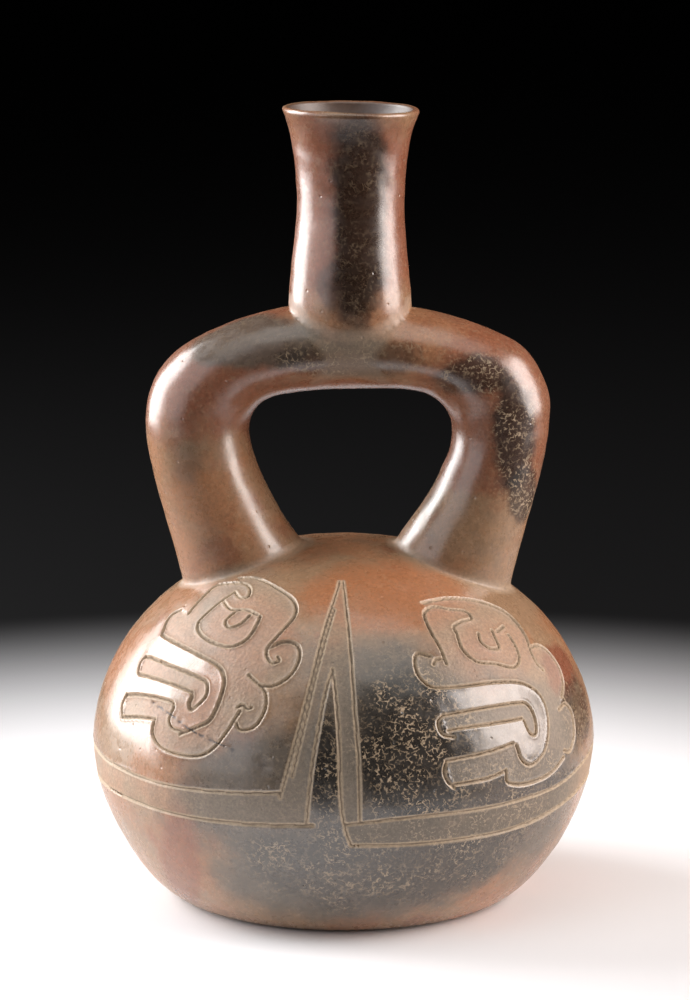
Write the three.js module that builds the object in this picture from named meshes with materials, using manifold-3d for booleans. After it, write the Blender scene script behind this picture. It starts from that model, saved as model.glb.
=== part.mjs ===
// A stirrup spout bottle of fired clay: one hollow piece, in millimetres, +Z up.
// A squat round body stands on a flat base. Two hollow legs rise from its shoulder, bend
// towards each other and meet in an arch, the stirrup, and one flared spout stands on the arch.
// The way in runs down the spout, through both legs and into the body.
// Incised lines cross the body: a tall double wedge in the middle of the front and of the back,
// a belt of two lines round the widest part, and a fanged head in each front panel.
// The origin is the centre of the base. The front faces -Y.
import * as THREE from "three";
import { mergeVertices } from "three/addons/utils/BufferGeometryUtils.js";
import Module from "manifold-3d";

const wasm = await Module();
wasm.setup();

// Body
const bodyRadius = 75;
const equatorHeight = 43.8; // of the widest part above the base
const crownHeight = 62.7; // of the body's top above the widest part
const baseRadius = 48; // of the flat that the bottle stands on
const lowerSwell = 1.52; // superellipse exponents of the two halves of the profile
const upperSwell = 2.1;
const bodyWall = 4.8;

// Stirrup: stations from the foot of one leg to the middle of the arch. Each has its distance
// from the spout's axis, its height, and the tube's radius in the stirrup's plane and across it.
const stirrupShift = 2; // the stirrup and spout stand this far off the body's axis
const stirrupWall = 4;
const halfStirrup = [
  [27.5, 90, 19, 18.6],
  [31.8, 100.5, 18.2, 18],
  [36.5, 112.5, 16.5, 16.8],
  [42.1, 127, 14.9, 16],
  [44.7, 140, 14.9, 15.8],
  [43.3, 149, 14.8, 15.8],
  [39.2, 155.2, 14.4, 16],
  [31.6, 159.6, 13.4, 16.4],
  [21, 162.8, 12.9, 16.8],
  [0, 164.7, 13, 17.2],
];

// Spout: radius and height of its outside, from inside the arch to the lip
const spoutFoot = 161;
const spoutTop = 235.4;
const spoutLean = THREE.MathUtils.degToRad(0.8); // towards +X
const lipThickness = 2.2;
const boreRadius = 12.2;
const spoutOutside = [
  [15.8, spoutFoot],
  [17.4, 167],
  [18.3, 175],
  [17.2, 189],
  [16, 202],
  [15.6, 210],
  [16.1, 217],
  [17.4, 224.6],
  [19, 231],
  [20.7, spoutTop - 1],
];

// Incised lines: V-shaped, cut into the skin
const incisedWidth = 1.5;
const incisedDepth = 0.9;
const cutterLift = 0.5; // how far a cutter stands out of the skin
const finestStep = 7; // length of one straight stretch of a cutter, by how much the line bends
const beltStep = 12;
const wedgeStep = 14;

// Facets of the turned and carried shapes: [along, around]
const outsideFacets = { body: [9, 50], stirrup: [34, 17], spout: [11, 28] };
const hollowFacets = { body: [5, 24], stirrup: [18, 10], spout: [7, 16] };

// The body's profile, from the middle of the base round to the crown. Above and below the
// widest part it is a quarter of a superellipse. An inset profile lies that far inside the skin.
function bodyProfile(inset, steps) {
  const radius = bodyRadius - inset;
  const foot = baseRadius - inset / 2;
  const floor = new THREE.Vector2(0, inset);
  const quarter = Array.from({ length: steps }, (_, i) => ((i / steps) * Math.PI) / 2);
  const lower = quarter.map(
    (a) =>
      new THREE.Vector2(
        foot + (radius - foot) * Math.sin(a) ** (2 / lowerSwell),
        equatorHeight - (equatorHeight - inset) * Math.cos(a) ** (2 / lowerSwell),
      ),
  );
  const upper = quarter.map(
    (a) =>
      new THREE.Vector2(
        radius * Math.cos(a) ** (2 / upperSwell),
        equatorHeight + (crownHeight - inset) * Math.sin(a) ** (2 / upperSwell),
      ),
  );
  return [floor, ...lower, ...upper, new THREE.Vector2(0, equatorHeight + crownHeight - inset)];
}

// Solids for the joins and cuts
function solidOf(geometry) {
  const plain = new THREE.BufferGeometry().setIndex(geometry.index);
  plain.setAttribute("position", geometry.getAttribute("position"));
  const merged = mergeVertices(plain, 1e-4);
  const vertProperties = merged.getAttribute("position").array;
  const triVerts = new Uint32Array(merged.index.array);
  return new wasm.Manifold(new wasm.Mesh({ numProp: 3, vertProperties, triVerts }));
}

// A solid of revolution about a vertical axis, from a profile of radius and height.
function turned(profile, segments) {
  return solidOf(new THREE.LatheGeometry(profile, segments).rotateX(Math.PI / 2));
}

// A closed rod carried through space. place(share, across, up) says where a point of the unit
// section goes at each share of the length, with across x along pointing up.
function carried(steps, sides, place) {
  const rod = new THREE.CylinderGeometry(1, 1, 1, sides, steps);
  const position = rod.getAttribute("position");
  for (let i = 0; i < position.count; i++) {
    const p = place(position.getY(i) + 0.5, position.getX(i), position.getZ(i));
    position.setXYZ(i, p.x, p.y, p.z);
  }
  return solidOf(rod);
}

function body(inset, [steps, segments]) {
  return turned(bodyProfile(inset, steps), segments);
}

// The stirrup's tube runs from foot to foot along a smooth line in the XZ plane.
function stirrup(inset, [steps, sides]) {
  const mirrored = halfStirrup.map(([x, ...rest]) => [-x, ...rest]);
  const stations = [...mirrored, ...halfStirrup.slice(0, -1).reverse()];
  const middles = stations.map(([x, z]) => new THREE.Vector3(x + stirrupShift, 0, z));
  const middle = new THREE.CatmullRomCurve3(middles);
  const radii = new THREE.CatmullRomCurve3(stations.map(([, , tall, deep]) => new THREE.Vector3(tall, deep)));
  return carried(steps, sides, (share, across, up) => {
    const along = middle.getTangent(share);
    const above = new THREE.Vector3(-along.z, 0, along.x);
    const radius = radii.getPoint(share);
    return middle
      .getPoint(share)
      .addScaledVector(above, up * (radius.x - inset))
      .add(new THREE.Vector3(0, -across * (radius.y - inset), 0));
  });
}

function smooth(points, steps) {
  return new THREE.SplineCurve(points.map(([r, z]) => new THREE.Vector2(r, z))).getPoints(steps);
}

// Stands a turned spout on the arch, with its lean.
function onArch(solid) {
  const degrees = THREE.MathUtils.radToDeg(spoutLean);
  return solid.translate([0, 0, -spoutFoot]).rotate([0, degrees, 0]).translate([stirrupShift, 0, spoutFoot]);
}

function spout([steps, segments]) {
  const lip = smooth([spoutOutside.at(-1), [20.3, spoutTop - 0.1], [19.4, spoutTop]], 2).slice(1);
  const profile = [new THREE.Vector2(0, spoutFoot), ...smooth(spoutOutside, steps), ...lip];
  return onArch(turned([...profile, new THREE.Vector2(0, spoutTop)], segments));
}

function spoutBore([steps, segments]) {
  const mouth = spoutOutside.at(-1)[0] - lipThickness;
  const bottom = spoutFoot - 2;
  const top = spoutTop + 1;
  const inside = [
    [boreRadius, bottom],
    [boreRadius, 210],
    [boreRadius + 1, 220],
    [mouth - 2.4, 229],
    [mouth, spoutTop - 1],
    [mouth + 0.9, top],
  ];
  const profile = [new THREE.Vector2(0, bottom), ...smooth(inside, steps), new THREE.Vector2(0, top)];
  return onArch(turned(profile, segments));
}

// The outer profile as a ruler, with the length of clay above the widest part at each point
const ruler = (() => {
  const points = bodyProfile(0, 160).slice(1);
  const along = [0];
  for (let i = 1; i < points.length; i++) along.push(along[i - 1] + points[i].distanceTo(points[i - 1]));
  const zero = along[points.findIndex((p) => p.y >= equatorHeight)];
  return { points, along: along.map((a) => a - zero) };
})();

// The point and outward normal of the body's skin at an azimuth and a length of clay above the
// widest part. Azimuth 0 is the front, and it grows towards +X.
function skin(azimuth, above) {
  const next = ruler.along.findIndex((a) => a > above);
  const [a, b] = [ruler.points[next - 1], ruler.points[next]];
  const share = (above - ruler.along[next - 1]) / (ruler.along[next] - ruler.along[next - 1]);
  const at = a.clone().lerp(b, share);
  const slope = b.clone().sub(a).normalize();
  const outward = new THREE.Vector3(Math.sin(azimuth), -Math.cos(azimuth), 0);
  return {
    radius: at.x,
    point: outward.clone().multiplyScalar(at.x).setZ(at.y),
    normal: outward.multiplyScalar(slope.y).setZ(-slope.x),
  };
}

// The cutter of one incised line. Its points lie on a flat chart in millimetres: across the body
// from a middle line at some azimuth, and up the clay from the widest part.
function incised(points, step, azimuth, across = 0, up = 0) {
  const line = new THREE.CatmullRomCurve3(points.map(([x, y]) => new THREE.Vector3(x + across, y + up, 0)));
  const at = (share) => {
    const p = line.getPointAt(THREE.MathUtils.clamp(share, 0, 1));
    return skin(azimuth + p.x / skin(0, p.y).radius, p.y);
  };
  const cutterDepth = incisedDepth + cutterLift;
  const sideReach = (incisedWidth * cutterDepth) / incisedDepth / Math.sqrt(3);
  return carried(Math.max(2, Math.round(line.getLength() / step)), 3, (share, across, down) => {
    const { point, normal } = at(share);
    const along = at(share + 0.01).point.sub(at(share - 0.01).point).normalize();
    const sideways = normal.clone().cross(along);
    const depth = ((down + 0.5) / 1.5) * cutterDepth - cutterLift;
    return point.addScaledVector(sideways, across * sideReach).addScaledVector(normal, -depth);
  });
}

// The fanged head, facing left, drawn about the back of its upper fang.
const head = {
  upperFang: [[-5, 0.4], [-16, 1], [-31, 0.4], [-33.8, 3.4], [-31, 6.1], [-16, 5.9], [-3, 4.6], [0, 0.4],
    [-2.4, -5]],
  fangTip: [[-2.4, -5], [-4.4, -2.6], [-5, 0.4]],
  nose: [[-25, 21.6], [-28.4, 24.4], [-32.4, 23.4], [-33.8, 19.4], [-32.4, 15], [-28, 13.4]],
  lip: [[-28, 13.4], [-13, 12.8], [-2, 10.4], [4, 6.4], [6, 0], [4, -7.6], [-3.6, -12.4], [-9.4, -10.8],
    [-10.4, -5.2]],
  lowerFang: [[-10.4, -5.2], [-21, -5.6], [-33.4, -6.6], [-35.4, -10], [-33, -13.4], [-24, -12.8],
    [-15.8, -12.2]],
  jaw: [[-15.8, -12.2], [-14, -16.8], [-6, -18.1], [2, -17.8], [7.4, -15.2], [11, -9.6], [12.8, -4.4]],
  chinScroll: [[12.6, -8], [17.4, -9.4], [20.2, -4], [18.6, 1.6], [12, 6.6]],
  brow: [[-23.8, 22.6], [-23, 31.4], [-20.6, 37.2], [-14, 40.2], [-8, 37.8], [-6, 34.8], [-10, 34.6]],
  eye: [[-12.6, 33.4], [-15, 28], [-16.4, 21.8], [-13.6, 18.9], [-1.4, 15.3], [3.4, 18.6], [4.4, 26]],
  pupil: [[-6.6, 28.6], [-7.4, 24.6], [-3.8, 22.4], [-1, 25.4], [-0.6, 28.8]],
  crown: [[-16, 41.8], [-8, 43], [3, 39], [12, 32.6], [13.6, 24], [11.2, 16.6], [15.4, 12.2]],
  earScroll: [[12.4, 17.8], [17, 19.6], [22, 16.4], [23, 9.6], [19.6, 4.8], [15, 4.8]],
};
const headPlaces = [
  { degrees: -40, across: 5.6, up: 30 },
  { degrees: 42, across: 10.2, up: 19.5 },
];

// The double wedge. Its outer sides run down into the belt's top line, and its inner sides into
// the bottom line.
const wedge = {
  leftEdge: [[-1.6, 72], [-5, 56], [-9.6, 35], [-14, 17], [-18, 3.4]],
  leftInside: [[-2.6, 40], [-6, 24], [-9, 8], [-10.4, -5]],
  rightInside: [[-2.2, 39], [-1.2, 22], [-0.3, 4], [1.6, -11]],
  rightEdge: [[0.6, 72.5], [2.3, 50], [3.8, 24], [5, -3.6]],
};
const wedgeDegrees = [0, 180];

// The belt's two lines from one wedge round to the next, as degrees and height. The belt is
// lower where it leaves a wedge than where it reaches the next.
const belt = {
  top: [[4, -3.6], [42, -2.9], [70, -0.4], [90, 2.4], [135, 1.9], [166, 4.2]],
  bottom: [[2, -11.8], [42, -12.1], [60, -9.6], [75, -6.8], [130, -6.5], [172, -5]],
};

function incisedLines() {
  const radians = THREE.MathUtils.degToRad;
  const heads = headPlaces.flatMap(({ degrees, across, up }) =>
    Object.values(head).map((line) => incised(line, finestStep, radians(degrees), across, up)),
  );
  const wedges = wedgeDegrees.flatMap((degrees) =>
    Object.values(wedge).map((line) => incised(line, wedgeStep, radians(degrees))),
  );
  const belts = wedgeDegrees.flatMap((degrees) =>
    Object.values(belt)
      .map((line) => line.map(([azimuth, height]) => [radians(azimuth) * bodyRadius, height]))
      .map((line) => incised(line, beltStep, radians(degrees))),
  );
  return wasm.Manifold.union([...heads, ...wedges, ...belts]);
}

function geometryOf(solid) {
  const mesh = solid.getMesh();
  const geometry = new THREE.BufferGeometry();
  geometry.setAttribute("position", new THREE.BufferAttribute(new Float32Array(mesh.vertProperties), 3));
  geometry.setIndex(new THREE.BufferAttribute(new Uint32Array(mesh.triVerts), 1));
  geometry.computeVertexNormals();
  return geometry;
}

function vessel() {
  const outside = wasm.Manifold.union([
    body(0, outsideFacets.body),
    stirrup(0, outsideFacets.stirrup),
    spout(outsideFacets.spout),
  ]);
  const hollow = wasm.Manifold.union([
    body(bodyWall, hollowFacets.body),
    stirrup(stirrupWall, hollowFacets.stirrup),
    spoutBore(hollowFacets.spout),
  ]);
  const clay = new THREE.MeshStandardMaterial({ color: 0x7d5f49, roughness: 0.42, metalness: 0 });
  const mesh = new THREE.Mesh(geometryOf(outside.subtract(hollow).subtract(incisedLines())), clay);
  mesh.name = "vessel";
  return mesh;
}

const bottle = new THREE.Group();
bottle.add(vessel());

export default bottle;
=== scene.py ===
"""A stirrup spout bottle of burnished, fire-clouded clay, with incised heads, belt and wedge."""
import math

import bmesh
import bpy
import numpy as np
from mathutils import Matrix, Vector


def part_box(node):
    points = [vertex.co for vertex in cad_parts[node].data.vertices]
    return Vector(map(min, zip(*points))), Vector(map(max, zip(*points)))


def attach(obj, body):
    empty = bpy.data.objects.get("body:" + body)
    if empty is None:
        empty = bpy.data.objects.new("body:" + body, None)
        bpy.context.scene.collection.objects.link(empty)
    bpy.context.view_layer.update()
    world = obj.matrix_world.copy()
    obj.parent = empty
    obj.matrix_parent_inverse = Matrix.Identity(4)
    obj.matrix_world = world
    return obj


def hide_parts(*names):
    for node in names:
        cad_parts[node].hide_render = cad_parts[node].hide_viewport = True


bl_info = {
    "name": "Stirrup spout bottle",
    "version": (1, 0, 0),
    "blender": (4, 5, 0),
    "location": "View3D > Sidebar > Bottle",
    "description": "Builds an incised, burnished clay bottle with a stirrup handle and one spout",
    "category": "Object",
}

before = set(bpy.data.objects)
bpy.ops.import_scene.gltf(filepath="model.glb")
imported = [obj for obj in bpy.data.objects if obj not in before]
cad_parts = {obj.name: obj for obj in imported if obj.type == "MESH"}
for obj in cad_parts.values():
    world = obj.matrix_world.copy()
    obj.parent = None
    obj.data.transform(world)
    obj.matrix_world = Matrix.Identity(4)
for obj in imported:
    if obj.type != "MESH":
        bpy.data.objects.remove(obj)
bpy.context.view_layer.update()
LOW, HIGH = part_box("vessel")

MM = 0.001
DRAWN_WIDTH = 150.0  # every size and list below is in millimetres, for a body this wide


# ---------------------------------------------------------------- curves and grids

def smooth_line(points, count):
    """A cubic Hermite curve through the points. Each tangent is taken across the neighbours, and
    the parameter grows with the root of the chord. It is sampled evenly in that parameter."""
    points = np.asarray(points, float)
    knots = np.append(0, np.cumsum(np.linalg.norm(np.diff(points, axis=0), axis=1) ** 0.5))
    tangent = np.gradient(points, knots, axis=0)
    at = np.linspace(0, knots[-1], count)
    i = np.clip(np.searchsorted(knots, at, side="right") - 1, 0, len(knots) - 2)
    width = (knots[i + 1] - knots[i])[:, None]
    t = (at - knots[i])[:, None] / width
    return (
        (2 * t**3 - 3 * t**2 + 1) * points[i]
        + (t**3 - 2 * t**2 + t) * width * tangent[i]
        + (3 * t**2 - 2 * t**3) * points[i + 1]
        + (t**3 - t**2) * width * tangent[i + 1]
    )


def ramp(x, low, high):
    """0 up to low, 1 from high on, and a smooth cubic step between them."""
    t = np.clip((x - low) / (high - low), 0, 1)
    return t * t * (3 - 2 * t)


def grid_faces(rows, columns):
    """Two triangles for each cell of a grid of points that runs row by row."""
    corner = (np.arange(rows - 1)[:, None] * columns + np.arange(columns - 1)).ravel()
    right, above = corner + 1, corner + columns
    return np.concatenate([
        np.stack([corner, right, above], axis=1),
        np.stack([right, above + 1, above], axis=1),
    ])


def solid(name, points, faces):
    """A closed mesh object. Points that fall together are merged, which closes seams and poles."""
    mesh = bpy.data.meshes.new(name)
    mesh.from_pydata(points, [], faces)
    work = bmesh.new()
    work.from_mesh(mesh)
    bmesh.ops.remove_doubles(work, verts=work.verts, dist=1e-3)
    bmesh.ops.recalc_face_normals(work, faces=work.faces)
    work.to_mesh(mesh)
    work.free()
    made = bpy.data.objects.new(name, mesh)
    bpy.context.scene.collection.objects.link(made)
    return made


def turned(radius, height, columns):
    """A profile of radius and height carried round the vertical axis."""
    angle = np.linspace(0, 2 * np.pi, columns + 1)
    x = radius[:, None] * np.sin(angle)
    y = -radius[:, None] * np.cos(angle)
    z = np.repeat(height[:, None], columns + 1, axis=1)
    return np.stack([x, y, z], axis=-1).reshape(-1, 3), grid_faces(len(radius), columns + 1)


# ---------------------------------------------------------------- the body

EQUATOR = 43.8  # height of the widest part
CROWN = 62.7  # from there to the top
BASE_RADIUS = 48.0
LOWER_SWELL = 1.52  # superellipse exponents of the two halves of the outline
UPPER_SWELL = 2.1
BODY_WALL = 4.8


def body_outline(inset, count):
    """Half outline of the body, from the middle of the base round to the crown: a flat, then two
    quarters of superellipses that meet at the widest part. Returns its radius and height."""
    quarter = np.linspace(0, np.pi / 2, count)
    radius, foot = DRAWN_WIDTH / 2 - inset, BASE_RADIUS - inset / 2
    flat = np.linspace(0, foot, count // 4, endpoint=False)
    lower_r = foot + (radius - foot) * np.sin(quarter) ** (2 / LOWER_SWELL)
    lower_z = EQUATOR - (EQUATOR - inset) * np.cos(quarter).clip(0) ** (2 / LOWER_SWELL)
    upper_r = radius * np.cos(quarter[1:]).clip(1e-9) ** (2 / UPPER_SWELL)
    upper_z = EQUATOR + (CROWN - inset) * np.sin(quarter[1:]) ** (2 / UPPER_SWELL)
    upper_r[-1] = 0
    r = np.concatenate([flat, lower_r, upper_r])
    z = np.concatenate([np.full(len(flat), inset), lower_z, upper_z])
    return r, z


FINE = 800
RULER_R, RULER_Z = body_outline(0, FINE)
RULER = np.append(0, np.cumsum(np.hypot(np.diff(RULER_R), np.diff(RULER_Z))))
RULER = RULER - RULER[FINE // 4 + FINE - 1]  # length of clay above the widest part
RULER_SLOPE = np.unwrap(np.arctan2(np.gradient(RULER_Z), np.gradient(RULER_R)))


def on_body(azimuth, along):
    """Points and outward normals of the skin at an azimuth, which is 0 at the front and grows
    towards +X, and a length of clay above the widest part."""
    r = np.interp(along, RULER, RULER_R)
    z = np.interp(along, RULER, RULER_Z)
    slope = np.interp(along, RULER, RULER_SLOPE)
    out = np.stack([np.sin(azimuth), -np.cos(azimuth)], axis=-1)
    points = np.concatenate([out * r[..., None], z[..., None]], axis=-1)
    normals = np.concatenate([out * np.sin(slope)[..., None], -np.cos(slope)[..., None]], axis=-1)
    return points, normals


def chart(points):
    """The azimuth and the length of clay above the widest part, of points near the skin."""
    above_base = slice(FINE // 4, None)
    along = np.interp(points[:, 2], RULER_Z[above_base], RULER[above_base])
    return np.arctan2(points[:, 0], -points[:, 1]), along


def body_gap(points):
    """Rough distance outside the upper half of the body, from its superellipse's formula."""
    r = np.hypot(points[:, 0], points[:, 1]) / (DRAWN_WIDTH / 2)
    z = np.maximum(points[:, 2] - EQUATOR, 0) / CROWN
    level = (r**UPPER_SWELL + z**UPPER_SWELL) ** (1 / UPPER_SWELL)
    return (level - 1) * np.linalg.norm(points - [0, 0, EQUATOR], axis=1) / level.clip(0.1)


# ---------------------------------------------------------------- the stirrup and spout

SHIFT = 2.2  # they stand this far off the body's axis
STIRRUP_WALL = 4.0
# Sections of the tube from the left foot over to the right foot. Each gives its inner and its
# outer point, as a distance from the spout's axis and a height, and then half its depth.
STIRRUP = [
    (-9, 98.5, -46.8, 84, 18.6),
    (-14.7, 106.7, -50, 95.5, 18),
    (-19.2, 113.2, -52.8, 106, 17.3),
    (-23.4, 120.4, -55.5, 115.5, 16.7),
    (-26.8, 127.5, -57.8, 124.6, 16.2),
    (-29.4, 135, -59.6, 133.8, 15.9),
    (-30, 140.5, -60.5, 142, 15.8),
    (-28.9, 144.6, -59.8, 149, 15.8),
    (-26.2, 148, -57, 156.5, 15.9),
    (-21.8, 150.2, -50.5, 164, 16),
    (-15.5, 151.4, -39, 170.4, 16.3),
    (-8, 152.1, -24, 175.2, 16.8),
    (0, 152.2, 0, 177.8, 17.1),
    (8, 152.1, 24, 175.1, 16.8),
    (16, 152, 39, 170.5, 16.3),
    (22.6, 150.6, 50.4, 164.2, 16),
    (27, 147.6, 56, 156.6, 15.9),
    (29.6, 143.8, 58.6, 149, 15.7),
    (30.3, 139.5, 58.6, 141.5, 15.6),
    (29.8, 134.6, 57.7, 133.8, 15.7),
    (26.8, 127.5, 56, 124.6, 16),
    (23.1, 120.4, 53.7, 115.5, 16.6),
    (18.2, 113.2, 51.1, 106, 17.3),
    (14, 106.7, 48.2, 95.5, 18),
    (9, 98.5, 45.6, 84, 18.6),
]
SPOUT_FOOT = 161.0
RIM_DROP = 0.024  # the rim falls this much per millimetre towards +X
SPOUT_OUTSIDE = [
    (15.8, SPOUT_FOOT),
    (17.3, 168),
    (18.1, 177),
    (17.4, 185.5),
    (16.5, 195),
    (15.8, 203.5),
    (15.8, 210),
    (16.4, 218.5),
    (17.0, 223.3),
    (18.1, 228.4),
    (19.3, 232),
    (20.1, 234.1),
]
BORE = 12.2  # the radius of its hollow, which starts at this height inside the arch
BORE_FOOT = 159
LIP_TURN = np.linspace(0.15, 1, 7)[:, None] * np.pi / 2  # angles of the points on a quarter of the lip


def stirrup_sections(count):
    """The middle of each section, half its chord from the inner to the outer point, and half its
    depth."""
    line = smooth_line(STIRRUP, count)
    flat = np.zeros(count)
    inner = np.stack([line[:, 0] + SHIFT, flat, line[:, 1]], axis=1)
    outer = np.stack([line[:, 2] + SHIFT, flat, line[:, 3]], axis=1)
    return (inner + outer) / 2, (outer - inner) / 2, line[:, 4]


def stirrup_tube(inset, count, sides):
    """Ellipses across every section of the stirrup, drawn to a point at both ends."""
    middle, chord, depth = stirrup_sections(count)
    half = np.linalg.norm(chord, axis=1)
    share = (half - inset) / half
    depth = depth - inset
    for end in (0, -1):
        share[end] = depth[end] = 0
    angle = np.linspace(0, 2 * np.pi, sides + 1)
    rings = middle[:, None] + (chord * share[:, None])[:, None] * np.cos(angle)[:, None]
    rings[..., 1] += depth[:, None] * np.sin(angle)
    return rings.reshape(-1, 3), grid_faces(count, sides + 1)


def stirrup_gap(points):
    """Rough distance outside the stirrup's tube, from the nearest of its sections."""
    middle, chord, depth = stirrup_sections(160)
    half = np.linalg.norm(chord, axis=1)
    apart = (points[:, :1] - middle[:, 0]) ** 2 + (points[:, 2:] - middle[:, 2]) ** 2
    nearest = apart.argmin(axis=1)
    in_plane = ((points - middle[nearest]) * chord[nearest]).sum(axis=1) / half[nearest]
    level = np.hypot(in_plane / half[nearest], points[:, 1] / depth[nearest])
    return (level - 1) * (half + depth)[nearest] / 2


def stood(points):
    """Moves spout points to their place, and lets the rim fall a little to one side."""
    x, y, z = points.T
    return np.stack([x + SHIFT, y, z - RIM_DROP * x * ramp(z, 215, 235)], axis=1)


def spout_gap(points):
    """Rough distance outside the spout."""
    profile = smooth_line(SPOUT_OUTSIDE, 60)
    radius = np.interp(points[:, 2], profile[:, 1], profile[:, 0])
    return np.hypot(points[:, 0] - SHIFT, points[:, 1]) - radius


def spout_outside(lip, count, columns):
    """The spout's outer profile, then the outer quarter of a round lip, turned round the spout's
    axis and closed by flat ends inside the arch and over the mouth."""
    profile = smooth_line(SPOUT_OUTSIDE, count)
    reach, top = profile[-1]
    bend = lip / 2 * np.hstack([np.cos(LIP_TURN), np.sin(LIP_TURN)])
    round_lip = np.array([reach - lip / 2, top]) + bend
    r, z = np.vstack([[[0, SPOUT_FOOT]], profile, round_lip, [[0, top + lip / 2]]]).T
    points, faces = turned(r, z, columns)
    return stood(points), faces


def spout_bore(lip, count, columns):
    """The hollow of the spout: a straight bore that widens into the inner quarter of the round
    lip, and is closed above the mouth so that it cuts right through."""
    reach, top = SPOUT_OUTSIDE[-1]
    mouth = reach - lip
    straight = [(BORE, BORE_FOOT), (BORE, 185), (BORE, 208)]
    widening = [(BORE + 1.2, 219), (mouth - 2.6, 228), (mouth, top)]
    bore_line = smooth_line(straight + widening, count)
    bend = lip / 2 * np.hstack([-np.cos(LIP_TURN), np.sin(LIP_TURN)])
    round_lip = np.array([reach - lip / 2, top]) + bend
    above = [[reach - lip / 2, top + 3], [0, top + 3]]
    r, z = np.vstack([[[0, BORE_FOOT]], bore_line, round_lip, above]).T
    points, faces = turned(r, z, columns)
    return stood(points), faces


# ---------------------------------------------------------------- the incised drawing

# Each line is drawn on a flat chart: across from a middle azimuth, and up the clay from the
# widest part.
LEFT_HEAD = {
    "nose": [(-22.4, 53.2), (-25.1, 51), (-25.7, 48.2), (-24, 44)],
    "mouth": [(-24, 43.8), (-15, 43), (-2, 41), (6.7, 38.3), (10, 34.5), (10.7, 28.4), (9.3, 22.5),
              (5.6, 20), (0, 17)],
    "upper_fang": [(-26.6, 35.6), (-23, 36.2), (-9, 35.6), (1, 34.3), (4.4, 33.1), (5.7, 29.6),
                   (4.2, 26.7), (1.9, 24.6), (0.7, 26.4), (0.9, 28.4), (0.2, 29.6)],
    "upper_fang_end": [(-26.6, 35.8), (-27.7, 33.2), (-26.7, 30.6)],
    "upper_fang_edge": [(-26, 30.4), (-15, 30.9), (-4.4, 30.4), (0.4, 29.7)],
    "lower_fang": [(-29.2, 23.2), (-22, 24.8), (-8, 25.8), (-4.8, 24.9), (-5.3, 20.7), (-3.9, 18.6),
                   (1.3, 17.8)],
    "lower_fang_end": [(-29.2, 23.4), (-30.3, 20.1), (-28.6, 16.8)],
    "lower_fang_edge": [(-28, 16.9), (-19, 18.7), (-11, 19.6)],
    "jaw": [(-11.2, 19.4), (-11.1, 15.7), (-7, 12.4), (1.1, 11.3), (8.9, 12.3), (13.3, 15.7),
            (16.4, 21.2), (18.3, 26.4)],
    "chin_curl": [(17.1, 27.3), (18.6, 28.2), (20.3, 27.1), (21.5, 27.7)],
    "chin_scroll": [(18.1, 22.8), (19.8, 21), (23.9, 22.1), (25.7, 27), (24.2, 32.2), (21.1, 34.6),
                    (16.7, 37.3)],
    "brow": [(-17.3, 53), (-16.6, 58.4), (-15.2, 65.4), (-10.5, 67.8), (-4.6, 69.3), (-1, 67.4),
             (0.3, 64.3), (-2, 63.5), (-5.5, 65.2)],
    "eye": [(-5.5, 65.2), (-8.3, 58.4), (-10.4, 51.2), (-7.9, 48.4), (0.8, 45.8), (7, 45.8),
            (10, 48.7), (10.2, 54), (9.3, 57.6)],
    "eyelid": [(-6.4, 60.6), (-1.8, 58.4), (4, 59.2), (8, 58.2)],
    "pupil": [(0.6, 58.2), (-0.7, 54), (1.8, 52), (4.9, 54), (5.9, 57.4)],
    "crown": [(-9.4, 70.8), (-3.6, 72.7), (3.4, 71.3), (15, 65.4), (19.3, 59.4), (18.9, 52),
              (18, 46.4), (19.8, 43.3), (22.2, 41.7), (23.7, 42.7), (22.6, 43.8)],
    "ear_scroll": [(18.6, 46.7), (21.7, 49.1), (26, 48.4), (29.2, 43.6), (28.9, 38), (25, 34.4),
                   (21.1, 34.6)],
}
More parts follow.
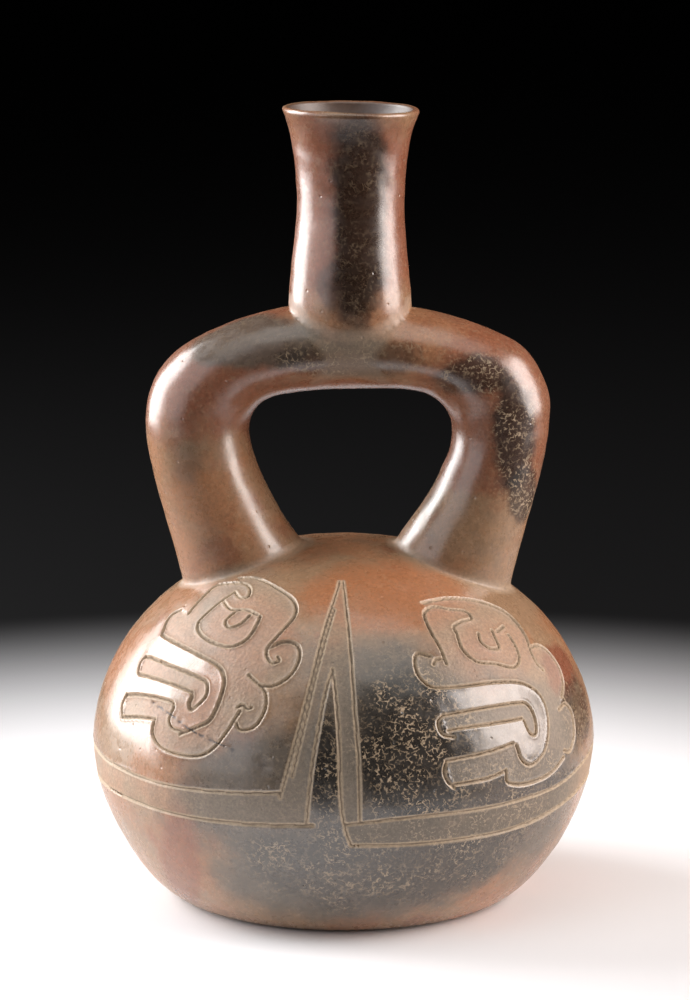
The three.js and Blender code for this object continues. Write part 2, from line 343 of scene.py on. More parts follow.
RIGHT_HEAD = {
    "nose": [(-14.5, 42), (-16.8, 42.2), (-18.2, 40.8)],
    "nose_scroll": [(-18, 43.4), (-21.5, 44.6), (-24, 41), (-24.5, 37.5), (-22.6, 33.9), (-16, 33)],
    "mouth": [(-16.4, 33), (0, 32.4), (10, 30.2), (15.6, 25.9), (17, 21), (15.5, 14), (12, 9),
              (5.6, 6.7), (2, 9), (0.6, 13.4)],
    "upper_fang": [(-22.4, 25), (-9, 25.6), (4.4, 25.1), (8.3, 24.2), (10.3, 19.8), (9.2, 14.9),
                   (6.8, 15.9), (5.6, 19.6)],
    "upper_fang_end": [(-21.8, 25.2), (-24.2, 23.4), (-23.9, 19.8), (-20.4, 18.6)],
    "upper_fang_edge": [(-21.7, 20.6), (-15, 20.9), (5, 20.5)],
    "lower_fang": [(-23.9, 12.2), (-10, 13), (-0.6, 14.1)],
    "lower_fang_end": [(-23.9, 12.2), (-25, 9.2), (-24.2, 6.4), (-22.4, 4.4)],
    "lower_fang_edge": [(-22.2, 5.1), (-10, 5.6), (-4.2, 6.8)],
    "jaw": [(-4.2, 7), (-4, 3.6), (0, 2), (8, 1.6), (16, 2.7), (22.8, 5.5)],
    "brow": [(-14.3, 40.4), (-13.6, 45), (-12.8, 52.5), (-10.6, 58.8), (-6, 61), (-2, 59.2),
             (3.6, 56.8), (3.8, 54.2), (-1, 53.7), (-4.6, 52.4), (-5.3, 50.5)],
    "eye": [(-5, 50.5), (-6.6, 44.5), (-4.5, 40), (2, 38), (9.4, 35.5), (13.2, 37.6), (14.5, 42),
            (14.4, 45.5)],
    "eyelid": [(10.2, 47.6), (14.5, 48.6)],
    "pupil": [(2.3, 48.5), (1.2, 45.5), (3.6, 42.8), (7, 42.6), (7.6, 45.5), (8.3, 48.5)],
    "crown": [(-8.5, 63), (-1, 63.4), (7, 61.4), (16, 56.4), (21.5, 50.5), (22.3, 43.5),
              (20.4, 37.5), (20.5, 34.3), (22.5, 31.8)],
    "ear_scroll": [(22, 39.5), (26.6, 38.9), (31, 35.4), (32.8, 30), (31.5, 25.5), (27.6, 22.4)],
    "chin_scroll": [(24, 19.4), (29, 20), (32.2, 16), (31.4, 10), (27, 6.6), (23.4, 7.4)],
}
WEDGE = {
    "left_edge": [(-1, 75), (-1.7, 70), (-5, 55.3), (-9, 36.7), (-13.3, 19.3), (-18, 2.6)],
    "left_twin": [(-2.4, 62), (-6.6, 43), (-10.4, 26), (-14.4, 9)],
    "left_inside": [(-2.9, 40.4), (-4.7, 34), (-6.7, 23.3), (-8.7, 11.3), (-10.4, -5.2)],
    "right_inside": [(-2.9, 40.8), (-2.1, 34), (-1, 20), (-0.3, 0), (0.9, -7), (2.4, -11.8)],
    "right_edge": [(0.1, 75), (1, 63.3), (2.5, 43), (3.3, 30), (4.6, 12), (4.9, -4)],
}
# Degrees from one wedge round to the next, and height
BELT = {
    "top": [(0.8, -4.9), (12, -3.6), (40, -3), (56, -2.2), (72, 0.6), (90, 2.5), (135, 1.8),
            (150, 2.4), (166, 4)],
    "bottom": [(1.8, -11.8), (20, -12.2), (46, -11.8), (60, -9.4), (75, -7.2), (110, -6.4),
               (150, -6.6), (172, -5.2)],
}
CRACK = [(-14.4, 24.1), (-5.6, 22.1), (1.4, 19.6), (10, 17.1), (17.8, 15.4), (24.4, 13),
         (28.3, 11.8), (33.9, 10)]
LEFT_AZIMUTH = math.radians(-40)
RIGHT_AZIMUTH = math.radians(42)


def nearest_on(points, line):
    """The distance from each point to a polyline, and the nearest place on it."""
    start, step = line[:-1], np.diff(line, axis=0)
    share = ((points[:, None] - start) * step).sum(axis=2) / (step**2).sum(axis=1)
    places = start + share.clip(0, 1)[..., None] * step
    distance = np.linalg.norm(points[:, None] - places, axis=2)
    best = distance.argmin(axis=1)
    row = np.arange(len(points))
    return distance[row, best], places[row, best]


def close_to(points, line, reach):
    """The numbers of the points inside a line's box, grown by reach."""
    low, high = line.min(axis=0) - reach, line.max(axis=0) + reach
    return np.flatnonzero(((points > low) & (points < high)).all(axis=1))


def on_chart(anchors, azimuth, step=0.8):
    """A drawn line as samples of azimuth and length up the clay."""
    length = np.linalg.norm(np.diff(anchors, axis=0), axis=1).sum()
    across, along = smooth_line(anchors, max(4, int(length / step))).T
    radius = np.interp(along, RULER, RULER_R)
    return np.stack([azimuth + across / radius, along], axis=1)


class Drawing:
    """Every incised line, as a line on the chart, and in space with half its width, its depth and
    the length of the mesh's edges beside it."""

    def __init__(self, width, depth):
        self.width = width
        self.depth = depth
        self.charts = {}
        self.lines = []
        heads = (("left", LEFT_AZIMUTH, LEFT_HEAD), ("right", RIGHT_AZIMUTH, RIGHT_HEAD))
        for side, azimuth, head in heads:
            for name, anchors in head.items():
                self.add(f"{side}_{name}", anchors, azimuth)
        for side, azimuth in (("front", 0.0), ("back", math.pi)):
            for name, anchors in WEDGE.items():
                self.add(f"{side}_{name}", anchors, azimuth, depth=0.75, step=2, finest=0.75)
            for name, anchors in BELT.items():
                around = [
                    (math.radians(degrees) * DRAWN_WIDTH / 2, height) for degrees, height in anchors
                ]
                self.add(f"{side}_{name}", around, azimuth, depth=0.8, step=2, finest=0.75)
        self.crack = on_body(*on_chart(CRACK, LEFT_AZIMUTH).T)[0]

    def add(self, name, anchors, azimuth, depth=1.0, step=0.8, finest=0.55):
        self.charts[name] = on_chart(anchors, azimuth, step)
        line = on_body(*self.charts[name].T)[0]
        self.lines.append((line, self.width / 2, self.depth * depth, finest))

    def edge_length(self, points):
        """How long the mesh's edges may be: short beside a line, and longer away from it."""
        found = np.full(len(points), 4.0)
        for line, _, _, finest in self.lines:
            near = close_to(points, line, 6)
            if len(near):
                away = (nearest_on(points[near], line)[0] - 0.9).clip(0)
                found[near] = np.minimum(found[near], finest + 0.7 * away)
        return found

    def outline(self, *parts):
        """A closed outline from stretches of lines: (name, from, to), as shares of each line."""
        stretches = []
        for name, start, stop in parts:
            line = self.charts[name]
            at = np.linspace(start, stop, max(3, int(abs(stop - start) * len(line)))) * (len(line) - 1)
            places = np.arange(len(line))
            stretches.append(np.stack([np.interp(at, places, line[:, k]) for k in (0, 1)], axis=1))
        return np.concatenate(stretches)

    def fields(self):
        """The outlines of the ground that was left matte."""
        yield self.outline(
            ("left_nose", 1, 0), ("left_brow", 0, 0.5), ("left_crown", 0, 0.78),
            ("left_ear_scroll", 0, 1), ("left_chin_scroll", 1, 0), ("left_jaw", 1, 0),
            ("left_lower_fang", 0.8, 1), ("left_mouth", 1, 0),
        )
        yield self.outline(("left_upper_fang", 0, 1), ("left_upper_fang_edge", 1, 0))
        yield self.outline(("left_lower_fang", 0, 0.8), ("left_lower_fang_edge", 1, 0))
        yield self.outline(
            ("right_nose_scroll", 1, 0), ("right_brow", 0, 0.4), ("right_crown", 0, 0.8),
            ("right_ear_scroll", 0, 1), ("right_chin_scroll", 0, 1), ("right_jaw", 1, 0),
            ("right_lower_fang", 1, 1), ("right_mouth", 1, 0),
        )
        yield self.outline(("right_upper_fang", 0, 1), ("right_upper_fang_edge", 1, 0))
        yield self.outline(("right_lower_fang", 0, 1), ("right_lower_fang_edge", 1, 0))
        for side in ("front", "back"):
            yield self.outline(
                (f"{side}_left_edge", 0, 1), (f"{side}_left_inside", 1, 0),
                (f"{side}_right_inside", 0, 1), (f"{side}_right_edge", 1, 0),
            )
            yield self.outline((f"{side}_top", 0, 1), (f"{side}_bottom", 1, 0))


def inside(azimuth, along, outline):
    """True where a chart point is inside a closed outline: an odd number of its sides cross the
    line that runs from the point along the chart."""
    turn = np.round((outline[:, 0].mean() - azimuth) / (2 * np.pi))
    azimuth = azimuth + turn * 2 * np.pi
    odd = np.zeros(len(azimuth), bool)
    for (x1, y1), (x2, y2) in zip(outline, np.roll(outline, -1, axis=0)):
        if y1 != y2:
            crossing = x1 + (along - y1) * (x2 - x1) / (y2 - y1)
            odd ^= ((y1 > along) != (y2 > along)) & (azimuth < crossing)
    return odd


# ---------------------------------------------------------------- making the mesh

def halved(points, faces, chosen):
    """Cuts the chosen edges of a triangle mesh in half, and splits the triangles at them.
    chosen takes the two ends of every edge and says which to cut."""
    sides = np.sort(faces[:, [[0, 1], [1, 2], [2, 0]]], axis=2).reshape(-1, 2)
    edges, which = np.unique(sides, axis=0, return_inverse=True)
    which = which.reshape(-1, 3)
    cut = chosen(points[edges[:, 0]], points[edges[:, 1]])
    number = np.zeros(len(edges), int)
    number[cut] = len(points) + np.arange(cut.sum())
    points = np.vstack([points, points[edges[cut]].mean(axis=1)])
    cuts = cut[which].sum(axis=1)
    made = [faces[cuts == 0]]
    for count in (1, 2, 3):
        rows = np.flatnonzero(cuts == count)
        first = cut[which[rows]].argmax(axis=1)
        if count == 2:  # starts after the side that stays whole
            first = (cut[which[rows]].argmin(axis=1) + 1) % 3
        order = (first[:, None] + np.arange(3)) % 3
        a, b, c = np.take_along_axis(faces[rows], order, axis=1).T
        ab, bc, ca = np.take_along_axis(number[which[rows]], order, axis=1).T
        pieces = {
            1: [(a, ab, c), (ab, b, c)],
            2: [(ab, b, bc), (a, ab, bc), (a, bc, c)],
            3: [(a, ab, ca), (ab, b, bc), (ca, bc, c), (ab, bc, ca)],
        }[count]
        made += [np.stack(piece, axis=1) for piece in pieces]
    return points, np.concatenate(made)


def body_skin(drawing):
    """The body's skin as a grid of azimuth and length up the clay. Its edges are halved until
    they are short beside the incised lines and the feet of the stirrup."""
    columns = 120
    along = np.concatenate([
        np.linspace(RULER[0], RULER[FINE // 4], 9)[:-1],
        np.linspace(RULER[FINE // 4], RULER[-1], 46),
    ])
    azimuth = np.linspace(-np.pi, np.pi, columns + 1)
    points = np.stack(np.meshgrid(azimuth, along), axis=-1).reshape(-1, 2)
    faces = grid_faces(len(along), columns + 1)

    def too_long(start, end):
        length = np.linalg.norm(on_body(*start.T)[0] - on_body(*end.T)[0], axis=1)
        middle = on_body(*((start + end) / 2).T)[0]
        at_feet = 1.2 + 0.6 * (np.abs(stirrup_gap(middle)) - 1.5).clip(0)
        return length > np.minimum(drawing.edge_length(middle), at_feet)

    for _ in range(4):
        points, faces = halved(points, faces, too_long)
    return on_body(*points.T)[0], faces


def joined(base, others):
    """Applies one boolean for each (object, operation) to base, and removes the others."""
    for other, operation in others:
        modifier = base.modifiers.new(operation, "BOOLEAN")
        modifier.object = other
        modifier.operation = operation
        modifier.solver = "MANIFOLD"
    whole = base.evaluated_get(bpy.context.evaluated_depsgraph_get())
    mesh = bpy.data.meshes.new_from_object(whole)
    mesh.materials.clear()
    for made in [base, *(other for other, _ in others)]:
        old = made.data
        bpy.data.objects.remove(made)
        bpy.data.meshes.remove(old)
    return mesh


def read(collection, name, width, kind=float):
    """One attribute of every element of a mesh, as an array."""
    values = np.empty(len(collection) * width, kind)
    collection.foreach_get(name, values)
    return values.reshape(-1, width)


def seam_gap(points):
    """Rough distance from where the stirrup's feet meet the body and the spout meets the arch."""
    from_tube = np.abs(stirrup_gap(points))
    at_arch = np.where(points[:, 2] > 155, np.abs(spout_gap(points)), 99)
    return from_tube + np.minimum(np.abs(body_gap(points)), at_arch)


def tidied(mesh, chosen, apart):
    """Closes the edges shorter than apart at the chosen points, which clears slivers."""
    work = bmesh.new()
    work.from_mesh(mesh)
    work.verts.ensure_lookup_table()
    near = [work.verts[number] for number in np.flatnonzero(chosen)]
    edges = list({edge for point in near for edge in point.link_edges})
    bmesh.ops.dissolve_degenerate(work, dist=apart, edges=edges)
    bmesh.ops.triangulate(work, faces=work.faces)
    work.to_mesh(mesh)
    work.free()


def softened(points, edges, weight, rounds):
    """Moves each weighted point towards the middle of its neighbours, again and again."""
    count = np.bincount(edges.ravel(), minlength=len(points))[:, None]
    for _ in range(rounds):
        total = np.zeros_like(points)
        np.add.at(total, edges[:, 0], points[edges[:, 1]])
        np.add.at(total, edges[:, 1], points[edges[:, 0]])
        points = points + weight[:, None] * (total / count - points)
    return points


def wobble(points, seed, shortest, longest, waves=18):
    """A sum of sine waves in random directions, between about -1 and 1."""
    chance = np.random.default_rng(seed)
    direction = chance.normal(size=(waves, 3))
    direction /= np.linalg.norm(direction, axis=1)[:, None]
    length = shortest * (longest / shortest) ** chance.random(waves)
    phase = chance.random(waves) * 2 * np.pi
    total = np.sin(points @ (direction / length[:, None]).T * 2 * np.pi + phase)
    return total.sum(axis=1) / math.sqrt(waves)


LINE_REACH = 3  # a line is felt this far to each side
SKIN_DEPTH = 1.2  # points this near the body's outer surface are part of its skin
SNAP = 0.24  # points this near a line's bottom slide onto it
BURR = 0.14  # the burr's height, as a share of the line's depth
CRACK_DEPTH = 0.4
GROUND_DROP = 0.28  # how far the matte ground lies below the burnished skin


def carve(points, drawing):
    """Presses the drawing into the skin. A line is a rounded V with a low burr of pushed-up clay
    on both sides, and the matte ground lies a little below the burnished surface. Points next to
    a line's bottom slide onto it. Returns the points, and how far each is in a line, in the crack
    and in the matte ground."""
    azimuth, along = chart(points)
    skin, normals = on_body(azimuth, along)
    on_skin = np.linalg.norm(points - skin, axis=1) < SKIN_DEPTH
    depth, burr, in_line, in_crack, matte = np.zeros((5, len(points)))
    gap = np.full(len(points), LINE_REACH + 1.0)
    placed = points.copy()
    for line, half, deep, _ in drawing.lines:
        near = close_to(points, line, LINE_REACH)
        if not len(near):
            continue
        distance, place = nearest_on(points[near], line)
        gap[near] = np.minimum(gap[near], distance)
        snapped = distance < SNAP
        placed[near[snapped]] = place[snapped]
        across = distance / half
        depth[near] = np.maximum(depth[near], deep * (1 - across.clip(0, 1) ** 2) ** 1.6)
        crest = BURR * deep * np.exp(-(((across - 1.35) / 0.45) ** 2))
        burr[near] = np.maximum(burr[near], crest)
        in_line[near] = np.maximum(in_line[near], 1 - ramp(across, 0.5, 1.7))
    near = close_to(points, drawing.crack, LINE_REACH)
    distance, _ = nearest_on(points[near], drawing.crack)
    in_crack[near] = 1 - ramp(distance, 0.15, 0.45)
    depth[near] = np.maximum(depth[near], CRACK_DEPTH * in_crack[near])
    for outline in drawing.fields():
        held = on_skin & (along > outline[:, 1].min()) & (along < outline[:, 1].max())
        held = np.flatnonzero(held)
        matte[held[inside(azimuth[held], along[held], outline)]] = 1
    ground = GROUND_DROP * matte * ramp(gap, 0.2, 1.1)
    return placed + normals * (burr - depth - ground)[:, None], in_line, in_crack, matte


SKIN_MARKS = ("line", "crack", "matte", "seam", "spout_hollow_painted_shade")  # the mesh's attributes, each 0 to 1
SEAM_REACH = 2.5  # how far from a joint the mesh is tidied and softened
SLIVER = 0.2  # edges shorter than this are closed up there
DARK_INSIDE = 175  # the spout's hollow is seen, and gets painted shade, above this height


def bottle_mesh(sizes):
    """The whole bottle as one closed skin: the body, the stirrup and the spout joined, their
    hollows taken out, the joints softened, the drawing carved, and the wall made a little uneven
    by two sums of sine waves. It is then scaled from the drawn sizes to the real ones."""
    drawing = Drawing(sizes.line_width / MM, sizes.line_depth / MM)
    lip = sizes.lip / MM
    skin = solid("skin", *body_skin(drawing))
    mesh = joined(skin, [
        (solid("tube", *stirrup_tube(0, 200, 76)), "UNION"),
        (solid("spout", *spout_outside(lip, 60, 96)), "UNION"),
        (solid("body hollow", *turned(*body_outline(BODY_WALL, 16), 64)), "DIFFERENCE"),
        (solid("tube hollow", *stirrup_tube(STIRRUP_WALL, 80, 28)), "DIFFERENCE"),
        (solid("spout hollow", *spout_bore(lip, 24, 96)), "DIFFERENCE"),
    ])
    tidied(mesh, seam_gap(read(mesh.vertices, "co", 3)) < SEAM_REACH, SLIVER)
    points = read(mesh.vertices, "co", 3)
    edges = read(mesh.edges, "vertices", 2, np.int32)
    from_seam = seam_gap(points)
    points = softened(points, edges, 0.5 * (1 - ramp(from_seam, 1, SEAM_REACH)), 6)
    points, in_line, in_crack, matte = carve(points, drawing)
    seam = 1 - ramp(from_seam, 1, 4)
    spout_hollow_painted_shade = ramp(-spout_gap(points), 0.9, 2.2) * (points[:, 2] > DARK_INSIDE)
    mesh.vertices.foreach_set("co", points.ravel())
    mesh.update()
    normals = read(mesh.vertices, "normal", 3)
    lumps = 0.22 * wobble(points, seed=3, shortest=24, longest=80)
    ripples = 0.05 * wobble(points, seed=4, shortest=5, longest=11)
    uneven = (lumps + ripples) * ramp(points[:, 2], 0.5, 9)
    points = points + normals * uneven[:, None]
    real_width = max(HIGH.x - LOW.x, HIGH.y - LOW.y)
    mesh.vertices.foreach_set("co", (points * (real_width / DRAWN_WIDTH)).ravel())
    for name, values in zip(SKIN_MARKS, (in_line, in_crack, matte, seam, spout_hollow_painted_shade)):
        mesh.attributes.new(name, "FLOAT", "POINT").data.foreach_set("value", values)
    mesh.shade_smooth()
    mesh.update()
    return mesh


# ---------------------------------------------------------------- the fired clay

def linear(code):
    """A linear colour from an sRGB hex value."""
    parts = np.array([int(code[i : i + 2], 16) / 255 for i in (0, 2, 4)])
    return (*np.where(parts <= 0.04045, parts / 12.92, ((parts + 0.055) / 1.055) ** 2.4), 1.0)


def add(tree, kind, inputs, out=0, **settings):
    """Adds a node and returns one of its outputs. inputs gives each socket, by name or number, a
    value or a socket to link."""
    made = tree.nodes.new("ShaderNode" + kind)
    for name, value in settings.items():
        setattr(made, name, value)
    for name, value in inputs.items():
        if isinstance(value, bpy.types.NodeSocket):
            tree.links.new(value, made.inputs[name])
        else:
            made.inputs[name].default_value = value
    return made.outputs[out] if made.outputs else made


# Where the fire and the soil left their marks, with umber painted shade down the spout's front:
# tone, centre and reach in millimetres, strength, and how far the edge wanders
CLOUDS = [
    ("orange", (15, -42, 97), (30, 30, 9), 0.85, 0.2),
    ("orange", (-26, -44, 88), (15, 24, 10), 0.7, 0.3),
    ("orange", (-68, -20, 74), (16, 24, 14), 0.6, 0.4),
    ("orange", (46, -42, 81), (17, 20, 10), 0.5, 0.4),
    ("grey", (15, -66, 62), (31, 32, 31), 0.9, 0.18),
    ("grey", (-10, -70, 45), (44, 34, 23), 0.9, 0.2),
    ("grey", (2, -66, 22), (47, 36, 19), 0.9, 0.22),
    ("grey", (50, -52, 46), (30, 38, 34), 0.85, 0.25),
    ("terracotta", (-47, -48, 20), (7, 30, 22), 0.7, 0.25),
    ("terracotta", (66, -24, 73), (9, 16, 8), 0.9, 0.3),
    ("black", (20, -66, 60), (20, 30, 26), 0.9, 0.25),
    ("black", (16, -66, 26), (46, 34, 18), 0.6, 0.35),
    ("black", (-5, -74, 56), (5, 20, 17), 0.9, 0.2),
    ("black", (50, -54, 42), (26, 26, 14), 0.6, 0.35),
    ("black", (70, -25, 60), (9, 16, 11), 0.6, 0.35),
    ("terracotta", (-38, 0, 160), (34, 30, 26), 0.8, 0.3),
    ("terracotta", (44, 0, 150), (30, 30, 32), 0.75, 0.35),
    ("terracotta", (2, 0, 152), (24, 30, 6), 0.8, 0.3),
    ("terracotta", (2, 0, 208), (30, 30, 38), 0.9, 0.25),
    ("grey", (-28, -12, 168), (26, 14, 8), 0.85, 0.35),
    ("black", (4, -14, 163), (22, 14, 6), 0.6, 0.35),
    ("black", (38, -13, 158), (12, 12, 6), 0.8, 0.4),
    ("black", (50, -12, 141), (7, 12, 18), 0.85, 0.35),
    ("black", (53, -11, 122), (5, 12, 9), 0.75, 0.35),
    # Painted shade: umber down the middle of the spout's front, between the side lamps' highlights
    ("umber", (5, -18, 206), (10, 13, 34), 0.95, 0.35),
    ("umber", (2, -18, 184), (10, 12, 8), 0.6, 0.4),
]
# Pale squiggles that roots and salts left: spacing and thickness in millimetres, and how much of
# the net of lines shows. The finest real ones are too thin to show, so these are a little wider.
ROOT_MARKS = [(1.6, 0.16, 0.5), (2.8, 0.2, 0.52)]


def clay(colours):
    """Fired, burnished clay. The potter rubbed the leather-hard skin with a stone, so it has a
    soft gloss with faint strokes. Smoke in the fire left orange, grey and black clouds. The
    ground inside the drawing stayed matte and stippled, its lines show paler clay, and roots
    in the soil etched short pale marks. Umber paints shade at the bottoms of the lines, inside
    the spout and down the middle of the spout's front."""
    material = bpy.data.materials.new("burnished_fire_clouded_clay")
    material.use_nodes = True
    tree = material.node_tree
    tree.nodes.clear()
    metres = add(tree, "TexCoord", {}, "Object")
    place = add(tree, "VectorMath", {0: metres, "Scale": 1 / MM}, operation="SCALE")
    line, crack, matte, seam, spout_hollow_painted_shade = (
        add(tree, "Attribute", {}, "Fac", attribute_name=name) for name in SKIN_MARKS
    )

    # Slow drift of the clay's own tone, then the fire clouds
    layers = []
    for tone, size, low, high, most in (
        ("orange", 30, 0.45, 0.62, 0.6),
        ("grey", 48, 0.54, 0.66, 0.5),
        ("terracotta", 19, 0.56, 0.7, 0.5),
    ):
        noise = {"Vector": place, "Scale": 1 / size, "Detail": 4, "Roughness": 0.6}
        drift = add(tree, "TexNoise", noise)
        share = {"Value": drift, "From Min": low, "From Max": high, "To Max": most}
        layers.append((tone, add(tree, "MapRange", share, interpolation_type="SMOOTHSTEP")))
    wander = add(tree, "TexNoise", {"Vector": place, "Scale": 1 / 11, "Detail": 6, "Roughness": 0.62})
    smoke = 0.0
    for tone, centre, reach, most, ragged in CLOUDS:
        away = add(tree, "VectorMath", {0: place, 1: centre}, operation="SUBTRACT")
        share = add(tree, "VectorMath", {0: away, 1: reach}, operation="DIVIDE")
        far = add(tree, "VectorMath", {0: share}, "Value", operation="LENGTH")
        edge = add(tree, "Math", {0: wander, 1: 3 * ragged, 2: far}, operation="MULTIPLY_ADD")
        inside_out = {"Value": edge, "From Min": 1.15 + 1.5 * ragged, "From Max": 0.7 + 1.5 * ragged,
                      "To Max": most}
        mask = add(tree, "MapRange", inside_out, interpolation_type="SMOOTHSTEP")
        layers.append((tone, mask))
        if tone == "black":
            smoke = add(tree, "Math", {0: smoke, 1: mask}, operation="MAXIMUM")

    # Root marks and specks, mostly on the smoked clay
    bend = add(tree, "TexNoise", {"Vector": place, "Scale": 1 / 2.5, "Detail": 2}, "Color")
    bend = add(tree, "VectorMath", {0: bend, "Scale": 3.0}, operation="SCALE")
    bent = add(tree, "VectorMath", {0: place, 1: bend}, operation="ADD")
    marks = 0.0
    for spacing, thick, kept in ROOT_MARKS:
        edge = add(
            tree, "TexVoronoi", {"Vector": bent, "Scale": 1 / spacing}, "Distance",
            feature="DISTANCE_TO_EDGE",
        )
        fade = {"Value": edge, "From Min": thick / spacing, "From Max": 0.3 * thick / spacing}
        thin = add(tree, "MapRange", fade)
        breaks = add(tree, "TexNoise", {"Vector": place, "Scale": 1.5 / spacing, "Detail": 1})
        breaks = add(tree, "MapRange", {"Value": breaks, "From Min": kept, "From Max": kept + 0.07})
        piece = add(tree, "Math", {0: thin, 1: breaks}, operation="MULTIPLY")
        marks = add(tree, "Math", {0: marks, 1: piece}, operation="MAXIMUM")
    patches = add(tree, "TexNoise", {"Vector": place, "Scale": 1 / 9, "Detail": 2})
    clusters = {"Value": patches, "From Min": 0.35, "From Max": 0.6, "To Min": 0.25}
    crowded = add(tree, "MapRange", clusters)
    amount = add(tree, "MapRange", {"Value": smoke, "From Max": 0.8, "To Min": 0.22, "To Max": 0.9})
    amount = add(tree, "Math", {0: amount, 1: crowded}, operation="MULTIPLY")
    marks = add(tree, "Math", {0: marks, 1: amount}, operation="MULTIPLY")
    layers.append(("pale", marks))

    # The matte ground, dust in the joints, the lines with painted shade at their bottoms, the crack,
    # and painted shade inside the spout
    for tone, mask, low, high, most in (
        ("dust", matte, 0.3, 0.9, 0.28),
        ("dust", seam, 0.2, 1, 0.35),
        ("pale", line, 0.1, 0.7, 0.75),
        # Painted shade: umber darkens the bottoms of the lines
        ("umber", line, 0.93, 1, 0.45),
        ("umber", crack, 0.3, 0.9, 0.9),
        # Painted shade: umber darkens the inside of the spout where it is seen
        ("umber", spout_hollow_painted_shade, 0, 1, 0.8),
    ):
        share = {"Value": mask, "From Min": low, "From Max": high, "To Max": most}
        layers.append((tone, add(tree, "MapRange", share)))
    colour = (*colours.tan, 1.0)
    for tone, mask in layers:
        colour = add(
            tree, "Mix", {0: mask, 6: colour, 7: (*getattr(colours, tone), 1.0)}, 2, data_type="RGBA",
        )
    speckle = add(tree, "TexNoise", {"Vector": place, "Scale": 1 / 0.9, "Detail": 4, "Roughness": 0.7})
    spread = {"From Min": 0.3, "From Max": 0.7}
    speckle = add(tree, "MapRange", {"Value": speckle, **spread, "To Min": 0.72, "To Max": 1.28})
    colour = add(tree, "HueSaturation", {"Color": colour, "Value": speckle})

    # Roughness: burnished, but duller on the matte ground and the root marks, in the lines, at the
    # joints and inside the spout
    rough = add(tree, "TexNoise", {"Vector": place, "Scale": 1 / 5, "Detail": 5, "Roughness": 0.7})
    rough = add(tree, "MapRange", {"Value": rough, **spread, "To Min": 0.2, "To Max": 0.36})
    for mask, dull in ((matte, 0.62), (line, 0.8), (marks, 0.6), (seam, 0.55), (spout_hollow_painted_shade, 0.5)):
        share = add(tree, "Math", {0: mask, 1: dull}, operation="MULTIPLY")
        rough = add(tree, "Math", {0: rough, 1: share}, operation="MAXIMUM")

    # Height in millimetres: burnishing strokes, small lumps, pits, and the stipple of the ground
    height = 0.0
    for stretch, amount in (((0.9, 0.9, 16), 0.012), ((14, 14, 0.9), 0.008), ((1.6, 1.6, 1.6), 0.022)):
        drawn_out = add(tree, "VectorMath", {0: place, 1: stretch}, operation="DIVIDE")
        stroke = add(tree, "TexNoise", {"Vector": drawn_out, "Scale": 1, "Detail": 3})
        height = add(tree, "Math", {0: stroke, 1: amount, 2: height}, operation="MULTIPLY_ADD")
    stipple = add(tree, "TexNoise", {"Vector": place, "Scale": 1 / 0.8, "Detail": 2})
    stipple = add(tree, "Math", {0: stipple, 1: matte}, operation="MULTIPLY")
    height = add(tree, "Math", {0: stipple, 1: 0.13, 2: height}, operation="MULTIPLY_ADD")
    pit = add(tree, "TexVoronoi", {"Vector": place, "Scale": 1 / 6}, "Distance")
    pit = add(tree, "MapRange", {"Value": pit, "From Min": 0.09, "From Max": 0.03, "To Max": 0.12})
    height = add(tree, "Math", {0: height, 1: pit}, operation="SUBTRACT")
    normal = add(tree, "Bump", {"Height": height, "Distance": MM})

    shader = add(
        tree, "BsdfPrincipled",
        {"Base Color": colour, "Roughness": rough, "Normal": normal, "IOR": 1.85},
    )
    add(tree, "OutputMaterial", {"Surface": shader})
    return material


# ---------------------------------------------------------------- the add-on

def colour_property(name, description, code):
    """A colour that the user can change, from its sRGB hex value."""
    return bpy.props.FloatVectorProperty(
        name=name, description=description, subtype="COLOR", size=3, min=0, max=1,
        default=linear(code)[:3],
    )


class BottleSizes(bpy.types.PropertyGroup):
    """The sizes of the incised lines and of the lip, in metres"""

    line_width: bpy.props.FloatProperty(
        name="Line width", description="Width of an incised line", default=1.25 * MM,
        min=0.5 * MM, max=3 * MM, precision=5, subtype="DISTANCE", unit="LENGTH",
    )
    line_depth: bpy.props.FloatProperty(
        name="Line depth", description="Depth of an incised line", default=0.8 * MM,
        min=0.2 * MM, max=2 * MM, precision=5, subtype="DISTANCE", unit="LENGTH",
    )
    lip: bpy.props.FloatProperty(
        name="Lip", description="Thickness of the spout's lip", default=2.2 * MM,
        min=1 * MM, max=4 * MM, precision=5, subtype="DISTANCE", unit="LENGTH",
    )


class BottleColours(bpy.types.PropertyGroup):
    """The tones that the clay is layered from"""

    tan: colour_property("Tan", "Bare fired clay", "9a7a5e")
    orange: colour_property("Orange", "Clay that had air in the fire", "a86f4b")
    terracotta: colour_property("Terracotta", "Redder clay of the stirrup and spout", "87503a")
    # Umber also paints shade at the bottoms of the lines, inside the spout and down the spout's front
    umber: colour_property("Umber", "Brown smoke stain", "33251c")
    grey: colour_property("Grey", "Lightly smoked clay", "5c544a")
    black: colour_property("Black", "Clay smoked black", "292623")
    pale: colour_property("Pale", "Lines and root marks", "b7a083")
    dust: colour_property("Dust", "Matte ground and dust in the joints", "9c8a72")


class BOTTLE_OT_make(bpy.types.Operator):
    """Makes the bottle and its clay"""

    bl_idname = "bottle.make"
    bl_label = "Make the bottle"

    def execute(self, context):
        made = bpy.data.objects.new("incised_bottle", bottle_mesh(context.scene.bottle_sizes))
        context.scene.collection.objects.link(made)
        made.data.materials.append(clay(context.scene.bottle_colours))
        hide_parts("vessel")
        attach(made, "root")
        return {"FINISHED"}


MIDDLE_HEIGHT = 0.11  # metres from the floor to the bottle's middle

# Name, azimuth and elevation of its middle seen from the bottle, its width and height in degrees,
# radiance, and colour. Azimuth 0 is the camera's side, and grows towards +X.
LIGHTS = [
    ("left softbox", -113, 18, 42, 54, 9.5, "ffffff"),
    ("left panel", -62, 18, 50, 54, 1.3, "fdfbff"),
    ("right softbox", 86, 18, 40, 54, 7.5, "fff4ee"),
    ("top softbox", 0, 76, 60, 44, 1.3, "fffdf8"),
]


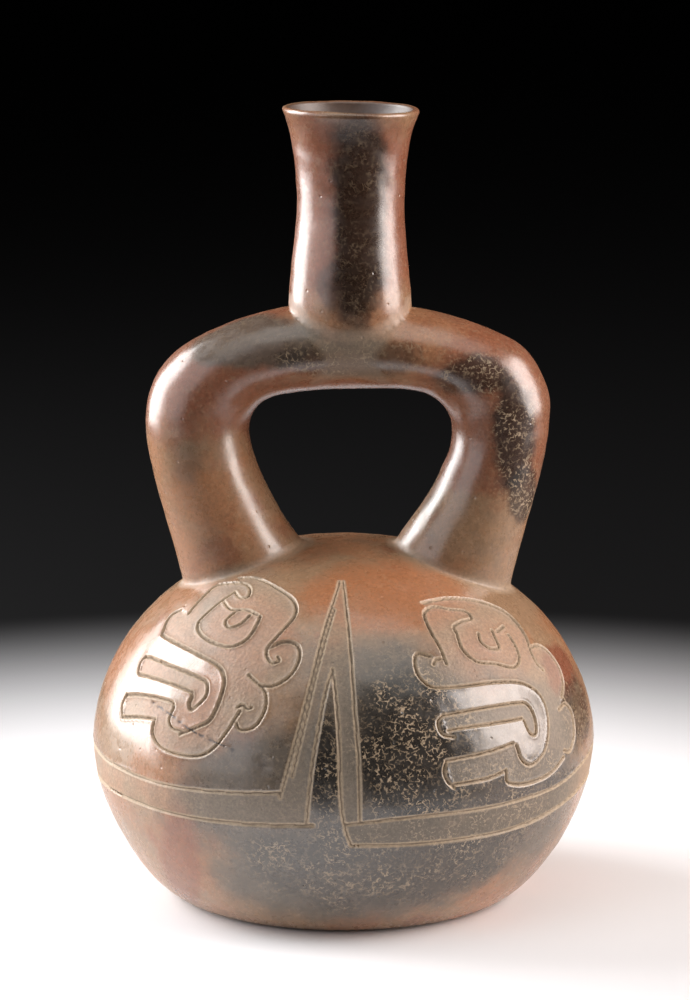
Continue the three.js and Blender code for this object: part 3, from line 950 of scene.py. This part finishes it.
def softbox(name, azimuth, elevation, wide, tall, radiance, colour):
    """A rectangular lamp a metre from the bottle that fills the given angles and faces it. Its
    power is its radiance times pi times its area."""
    data = bpy.data.lights.new(name, "AREA")
    data.shape = "RECTANGLE"
    data.size = 2 * math.tan(math.radians(wide / 2))
    data.size_y = 2 * math.tan(math.radians(tall / 2))
    data.energy = radiance * math.pi * data.size * data.size_y
    data.color = linear(colour)[:3]
    lamp = bpy.data.objects.new(name, data)
    turn, rise = math.radians(azimuth), math.radians(elevation)
    away = Vector((math.sin(turn) * math.cos(rise), -math.cos(turn) * math.cos(rise), math.sin(rise)))
    lamp.location = away + Vector((0, 0, MIDDLE_HEIGHT))
    lamp.rotation_euler = away.to_track_quat("Z", "Y").to_euler()
    bpy.context.scene.collection.objects.link(lamp)


class BOTTLE_OT_stage(bpy.types.Operator):
    """Makes the floor, the lights, the dark surroundings and the camera"""

    bl_idname = "bottle.stage"
    bl_label = "Make the stage"

    def execute(self, context):
        scene = context.scene
        rings = np.array([0, 0.3, 1, 3, 6])
        floor = solid("floor", *turned(rings, np.full(len(rings), -0.0002), 96))
        # White paper: matte, with painted falloff of light: its colour darkens with distance from the
        # bottle into the dark behind and around it
        material = bpy.data.materials.new("white_paper_painted_falloff")
        material.use_nodes = True
        tree = material.node_tree
        tree.nodes.clear()
        metres = add(tree, "TexCoord", {}, "Object")
        far = add(tree, "VectorMath", {0: metres}, "Value", operation="LENGTH")
        share = add(
            tree, "MapRange", {"Value": far, "From Min": 0.1, "From Max": 0.4},
            interpolation_type="SMOOTHSTEP",
        )
        fall = {0: share, 6: linear("f6f6f9"), 7: linear("050506")}
        tone = add(tree, "Mix", fall, 2, data_type="RGBA")
        dull = {"Base Color": tone, "Roughness": 0.9, "Specular IOR Level": 0.1}
        shader = add(tree, "BsdfPrincipled", dull)
        add(tree, "OutputMaterial", {"Surface": shader})
        floor.data.materials.append(material)

        for light in LIGHTS:
            softbox(*light)
        scene.world = bpy.data.worlds.new("dark studio")
        scene.world.use_nodes = True
        background = scene.world.node_tree.nodes["Background"]
        background.inputs["Color"].default_value = linear("050506")
        scene.view_settings.view_transform = "Standard"

        data = bpy.data.cameras.new("camera")
        data.lens = 152.1
        data.sensor_width = 36
        camera = bpy.data.objects.new("camera", data)
        camera.location = (0.00065, -1.232, 0.354)
        camera.rotation_euler = (math.radians(90 - 10.83), 0, 0)
        scene.collection.objects.link(camera)
        scene.camera = camera
        return {"FINISHED"}


class BOTTLE_PT_panel(bpy.types.Panel):
    """The bottle's sizes, colours and operators"""

    bl_idname = "BOTTLE_PT_panel"
    bl_label = "Stirrup spout bottle"
    bl_space_type = "VIEW_3D"
    bl_region_type = "UI"
    bl_category = "Bottle"

    def draw(self, context):
        for group in (context.scene.bottle_sizes, context.scene.bottle_colours):
            for name in group.__annotations__:
                self.layout.prop(group, name)
        for operator in (BOTTLE_OT_make, BOTTLE_OT_stage):
            self.layout.operator(operator.bl_idname)


CLASSES = (BottleSizes, BottleColours, BOTTLE_OT_make, BOTTLE_OT_stage, BOTTLE_PT_panel)


def register():
    for made in CLASSES:
        bpy.utils.register_class(made)
    bpy.types.Scene.bottle_sizes = bpy.props.PointerProperty(type=BottleSizes)
    bpy.types.Scene.bottle_colours = bpy.props.PointerProperty(type=BottleColours)


def unregister():
    del bpy.types.Scene.bottle_colours
    del bpy.types.Scene.bottle_sizes
    for made in reversed(CLASSES):
        bpy.utils.unregister_class(made)


def main():
    register()
    bpy.ops.bottle.make()
    bpy.ops.bottle.stage()


if __name__ == "__main__":
    main()
